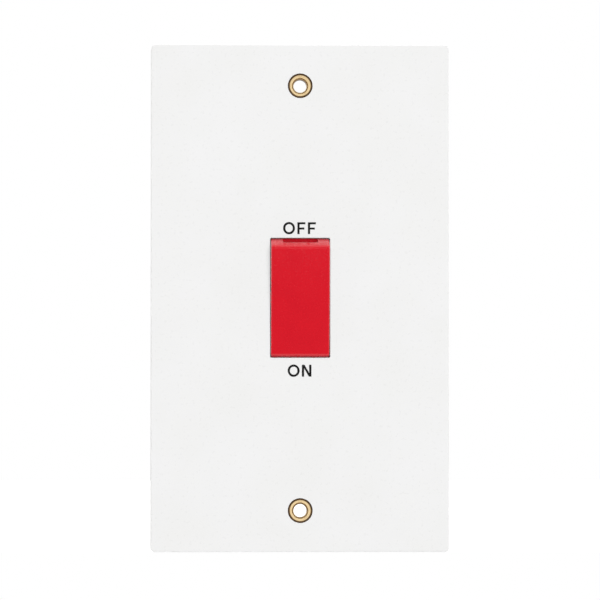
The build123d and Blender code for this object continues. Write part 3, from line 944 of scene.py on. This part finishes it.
@dataclass(frozen=True)
class SlottedScrew:
    """A screw along Y with its tip at 0 and a slot across its rear end."""

    length: float
    radius: float
    pitch: float
    thread_depth: float
    thread_end: float
    point: float
    point_radius: float
    head_radius: float = 0.0
    head_height: float = 0.0
    # Chamfer under the head, chamfer round the rear end, and the share of it where it bends.
    under_edge: float = 0.08
    edge: float = 0.15
    edge_bend: float = 0.3
    slot_width: float = 0.8
    slot_depth: float = 0.9
    # How fast the thread's flanks fall, in depths for each pitch.
    flank: float = 2.4
    land_points: int = 19
    rows_per_pitch: int = 8

    def shape(self) -> Shape:
        """Make the whole screw as one closed skin.

        Returns:
            Points and faces.
        """
        angles = self.angles()
        rows = self.rows()
        points: list[Point] = []
        for radius, depth, threaded in rows:
            for angle in angles:
                reach = radius - (self.cut(depth, angle) if threaded else 0.0)
                points.append((reach * math.cos(angle), depth, reach * math.sin(angle)))
        count = len(angles)
        faces = [list(range(count))]
        for row in range(len(rows) - 1):
            faces += band(row * count, (row + 1) * count, count)
        self.close_slotted_end(points, faces, (len(rows) - 1) * count)
        return points, faces

    @property
    def end_radius(self) -> float:
        """Radius of the end that the slot crosses."""
        return self.head_radius or self.radius

    def cut(self, depth: float, angle: float) -> float:
        """How far the thread is cut in at one place.

        Args:
            depth: Distance from the tip.
            angle: Angle round the screw.

        Returns:
            The cut, in millimetres.
        """
        phase = (depth / self.pitch - angle / FULL_TURN) % 1.0
        groove = max(0.0, 1.0 - abs(phase - 0.5) * self.flank)
        begun = min(1.0, max(0.0, (depth - self.point) / self.pitch))
        left = min(1.0, max(0.0, (self.thread_end - depth) / self.pitch))
        return self.thread_depth * max(groove * left, 1.0 - begun)

    def land(self, radius: float) -> list[float]:
        """Angles of the points on one side of the slot.

        Args:
            radius: Radius of the ring that they lie on.

        Returns:
            The angles, in order round the ring.
        """
        corner = math.asin(self.slot_width / 2 / radius)
        last = self.land_points - 1
        return [corner + (math.pi - 2 * corner) * step / last for step in range(self.land_points)]

    def angles(self) -> list[float]:
        """Angles of a full ring, with a point at each corner of the slot and two across each of its ends.

        Returns:
            The angles, in order round the ring.
        """
        land = self.land(self.end_radius)
        third = land[0] / 3
        side = land + [math.pi - third, math.pi + third]
        return side + [math.pi + angle for angle in side]

    def rows(self) -> list[tuple[float, float, bool]]:
        """Rings of the screw, from the tip to the slot's floor.

        Returns:
            Radius, depth and whether the thread is cut there.
        """
        rows = [(self.point_radius, 0.0, False)]
        count = int((self.thread_end - self.point) / self.pitch * self.rows_per_pitch)
        for row in range(count + 1):
            rows.append((self.radius, self.point + (self.thread_end - self.point) * row / count, True))
        if self.head_radius:
            under = self.length - self.head_height
            rows += [
                (self.radius, under, False), (self.head_radius - self.under_edge, under, False),
                (self.head_radius, under + self.under_edge, False),
            ]
        rows.append((self.end_radius, self.length - self.slot_depth, False))
        return rows

    def close_slotted_end(self, points: list[Point], faces: list[Face], floor: int) -> None:
        """Add the slot's floor and the two lands beside it.

        Args:
            points: The screw's points, which get the lands' points.
            faces: The screw's faces, which get the end's faces.
            floor: Number of the first point of the ring at the slot's floor.
        """
        span = self.land_points
        half = span + 2
        faces.append([floor + step for step in (
            0, half + span + 1, half + span, half + span - 1, half, span + 1, span, span - 1,
        )])
        bend = self.edge * self.edge_bend
        levels = (
            (self.end_radius, self.length - self.edge),
            (self.end_radius - bend, self.length - bend),
            (self.end_radius - self.edge, self.length),
        )
        for side in (0, 1):
            below = [floor + side * half + step for step in range(span)]
            first, last = [below[0]], [below[-1]]
            for radius, depth in levels:
                ring = list(range(len(points), len(points) + span))
                for angle in self.land(radius):
                    turn = angle + side * math.pi
                    points.append((radius * math.cos(turn), depth, radius * math.sin(turn)))
                for step in range(span - 1):
                    faces.append([below[step], ring[step], ring[step + 1], below[step + 1]])
                first.append(ring[0])
                last.append(ring[-1])
                below = ring
            faces.append(below)
            faces.append(first + last[::-1])


@dataclass
class Contacts(SubAssembly):
    """The copper see-saws and the silver buttons that meet when the switch is on."""

    button_radius: float = 2.2
    edge: float = 0.1
    crown: float = 0.26
    dome_degrees: tuple[int, ...] = (78, 66, 54, 42, 30, 18, 6)
    steps: int = 56

    def build(self) -> None:
        """Dress the see-saws and add all four buttons."""
        half_turn = Matrix.Rotation(math.pi, 4, "X")
        for pole in Pole:
            self.keep(f"{pole.label}_moving_contact", COPPER_STRIP, "contact_copper")
            moving, fixed = f"{pole.label}_moving_tip", f"{pole.label}_fixed_tip"
            self.tip(moving, f"{pole.label}_seesaw", on_axis(moving))
            self.tip(fixed, HOUSING, on_axis(fixed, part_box(fixed)[1].y) @ half_turn)

    def tip(self, node: str, body: str, place: Matrix) -> None:
        """Add one domed button in the place of its CAD node.

        Args:
            node: The CAD node.
            body: The body that it rides on.
            place: Where its flat side lies, with its dome along Y.
        """
        low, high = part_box(node)
        height = (high.y - low.y) / MM
        radius = self.button_radius
        profile = [(radius - self.edge, 0.0), (radius, self.edge), (radius, height - self.crown)]
        for degrees in self.dome_degrees:
            turn = math.radians(degrees)
            profile.append((radius * math.sin(turn), height - self.crown * (1 - math.cos(turn))))
        shape = turned(profile, self.steps, False)
        self.make(f"{node}_button", shape, SILVER_BUTTON, "contact_silver", body, place, (node,))


@dataclass
class Terminals(SubAssembly):
    """The four tunnel terminals with their clamping screws."""

    screw: SlottedScrew = SlottedScrew(
        length=8.5, radius=1.97, pitch=0.7, thread_depth=0.36, thread_end=8.1, point=0.7, point_radius=1.15,
    )

    def build(self) -> None:
        """Dress the blocks and add the screws."""
        shape = self.screw.shape()
        for pole in Pole:
            for duty in Duty:
                name = f"{pole.label}_{duty.value}"
                self.keep(f"{name}_terminal", DRAWN_BRASS, "terminal_brass")
                for place in ("inner", "outer"):
                    node = f"{name}_screw_{place}"
                    self.fasten(f"{name}_clamp_screw_{place}", node, shape, f"{node}_body")


@dataclass
class Mouldings(SubAssembly):
    """The two dark mouldings and the screws that hold them to the plate."""

    screw: SlottedScrew = SlottedScrew(
        length=11.9, radius=1.25, pitch=0.9, thread_depth=0.26, thread_end=8.6, point=0.9, point_radius=0.4,
        head_radius=2.8, head_height=2.1, edge=0.45,
    )

    def build(self) -> None:
        """Dress both mouldings and add the four screws."""
        self.keep("rocker_frame", BLACK_PHENOLIC, "moulding_dark")
        self.keep("mechanism_base", BLACK_PHENOLIC, "moulding_dark")
        shape = self.screw.shape()
        for height in ("lower", "upper"):
            for hand in ("left", "right"):
                node = f"{height}_{hand}_module_screw"
                self.fasten(f"{height}_{hand}_cheese_head_screw", node, shape, HOUSING)


@dataclass
class EarthTerminal(SubAssembly):
    """The brass bar for the earth wires, with its two screws."""

    screw: SlottedScrew = SlottedScrew(
        length=6.6, radius=1.7, pitch=0.6, thread_depth=0.31, thread_end=6.2, point=0.6, point_radius=1.0,
    )

    def build(self) -> None:
        """Dress the bar and add both screws."""
        self.keep("earth_terminal", DRAWN_BRASS, "terminal_brass")
        shape = self.screw.shape()
        for hand in ("left", "right"):
            node = f"earth_screw_{hand}"
            self.fasten(f"earth_clamp_screw_{hand}", node, shape, f"{node}_body")


@dataclass(frozen=True)
class Lamp:
    """A round soft lamp that points at the object, and may be left out of its reflections, in metres."""

    name: str
    place: Point
    size: float
    power: float
    mirrored: bool

    def build(self) -> None:
        """Add the lamp to the scene."""
        data = bpy.data.lights.new(self.name, "AREA")
        data.shape = "DISK"
        data.size = self.size
        data.energy = self.power
        lamp = bpy.data.objects.new(self.name, data)
        lamp.visible_glossy = self.mirrored
        bpy.context.scene.collection.objects.link(lamp)
        place = Vector(self.place)
        turn = (-place).to_track_quat("-Z", "Y").to_matrix().to_4x4()
        lamp.matrix_world = Matrix.Translation(place) @ turn


@dataclass
class Studio:
    """Floor, white surroundings, two soft lamps and the camera. Its lengths are metres."""

    floor_half_width: float = 1.6
    floor_front: float = -0.004
    floor_rear: float = 2.6
    floor_colour: str = "B4B4B2"
    floor_shade: str = "AFAFAD"
    floor_lift: float = 0.9
    # Light round the camera, and the directions along Y between which it rises to full white.
    front_light: float = 0.08
    front_edge: float = -0.86
    side_edge: float = -0.50
    lamps: tuple[Lamp, ...] = (
        Lamp("soft_front", place=(0.60, -6.75, 1.44), size=4.2, power=272.0, mirrored=False),
        Lamp("overhead", place=(0.30, 0.45, 1.60), size=1.2, power=5.0, mirrored=True),
    )
    aim: Point = (-0.00006, -0.009, -0.00062)
    distance: float = 1.2
    azimuth: float = -1.9
    elevation: float = -2.0
    sensor: float = 36.0
    picture_width: float = 0.1702

    def build(self) -> None:
        """Set up everything that isn't the object."""
        bpy.context.scene.view_settings.view_transform = "Standard"
        self.world()
        self.floor()
        for lamp in self.lamps:
            lamp.build()
        self.camera()

    def world(self) -> None:
        """White surroundings: full white behind the object and to the camera, dim round the camera itself."""
        world = bpy.data.worlds.new("studio")
        world.use_nodes = True
        bpy.context.scene.world = world
        tree = world.node_tree
        path = add_node(tree, "ShaderNodeLightPath").outputs
        direction = add_node(tree, "ShaderNodeTexCoord").outputs["Generated"]
        split = add_node(tree, "ShaderNodeSeparateXYZ", {"Vector": direction})
        room = add_node(tree, "ShaderNodeMapRange", {
            "Value": split.outputs["Y"], "From Min": self.front_edge, "From Max": self.side_edge,
            "To Min": self.front_light, "To Max": 1.0,
        }, interpolation_type="SMOOTHSTEP").outputs["Result"]
        direct = {0: path["Is Camera Ray"], 1: path["Is Transmission Ray"]}
        clear = add_node(tree, "ShaderNodeMath", direct, operation="MAXIMUM").outputs[0]
        strength = add_node(tree, "ShaderNodeMix", {0: clear, 2: room, 3: 1.0}).outputs[0]
        tree.links.new(strength, tree.nodes["Background"].inputs["Strength"])
        tree.nodes["Background"].inputs["Color"].default_value = linear("FFFFFF")

    def floor(self) -> None:
        """Pale floor at the plate's lower edge, that nearly merges with the surroundings.

        Its front edge lies under the plate, so that no floor before it shades or brightens its face.
        """
        half, front, rear = self.floor_half_width, self.floor_front, self.floor_rear
        height = CAD_BOX[0].z
        mesh = bpy.data.meshes.new("floor")
        corners = [(-half, front, height), (half, front, height), (half, rear, height), (-half, rear, height)]
        mesh.from_pydata(corners, [], [[0, 1, 2, 3]])
        recipe = Recipe("matt_white_paper")
        grain = recipe.span(recipe.noise(size_mm=3.0, layers=3.0), 0.0, 1.0)
        recipe.feed("Base Color", recipe.blend(grain, linear(self.floor_colour), linear(self.floor_shade)))
        recipe.set(Roughness=0.9, Specular_IOR_Level=0.1, Emission_Color=linear("FFFFFF"))
        path = add_node(recipe.tree, "ShaderNodeLightPath").outputs
        lift = recipe.span(path["Is Camera Ray"], 0.0, self.floor_lift, 0.0, 1.0)
        recipe.feed("Emission Strength", lift)
        mesh.materials.append(recipe.material)
        floor = bpy.data.objects.new("floor", mesh)
        bpy.context.scene.collection.objects.link(floor)

    def camera(self) -> None:
        """Camera at the photograph's angle: a little to the left of the middle, and a little below."""
        azimuth, elevation = math.radians(self.azimuth), math.radians(self.elevation)
        level = math.cos(elevation)
        back = Vector((math.sin(azimuth) * level, -math.cos(azimuth) * level, math.sin(elevation)))
        data = bpy.data.cameras.new("camera")
        data.sensor_width = self.sensor
        data.lens = self.sensor * self.distance / self.picture_width
        data.clip_start, data.clip_end = 0.01, 50.0
        camera = bpy.data.objects.new("camera", data)
        bpy.context.scene.collection.objects.link(camera)
        turn = (-back).to_track_quat("-Z", "Y").to_matrix().to_4x4()
        camera.matrix_world = Matrix.Translation(Vector(self.aim) + back * self.distance) @ turn
        bpy.context.scene.camera = camera


def main() -> None:
    """Build every sub-assembly and the studio."""
    logging.basicConfig(level=logging.INFO, format="%(name)s: %(message)s")
    shelf = Shelf()
    for group in (FrontPlate, RockerGroup, Contacts, Terminals, Mouldings, EarthTerminal):
        group(shelf).build()
    Studio().build()


if __name__ == "__main__":
    main()
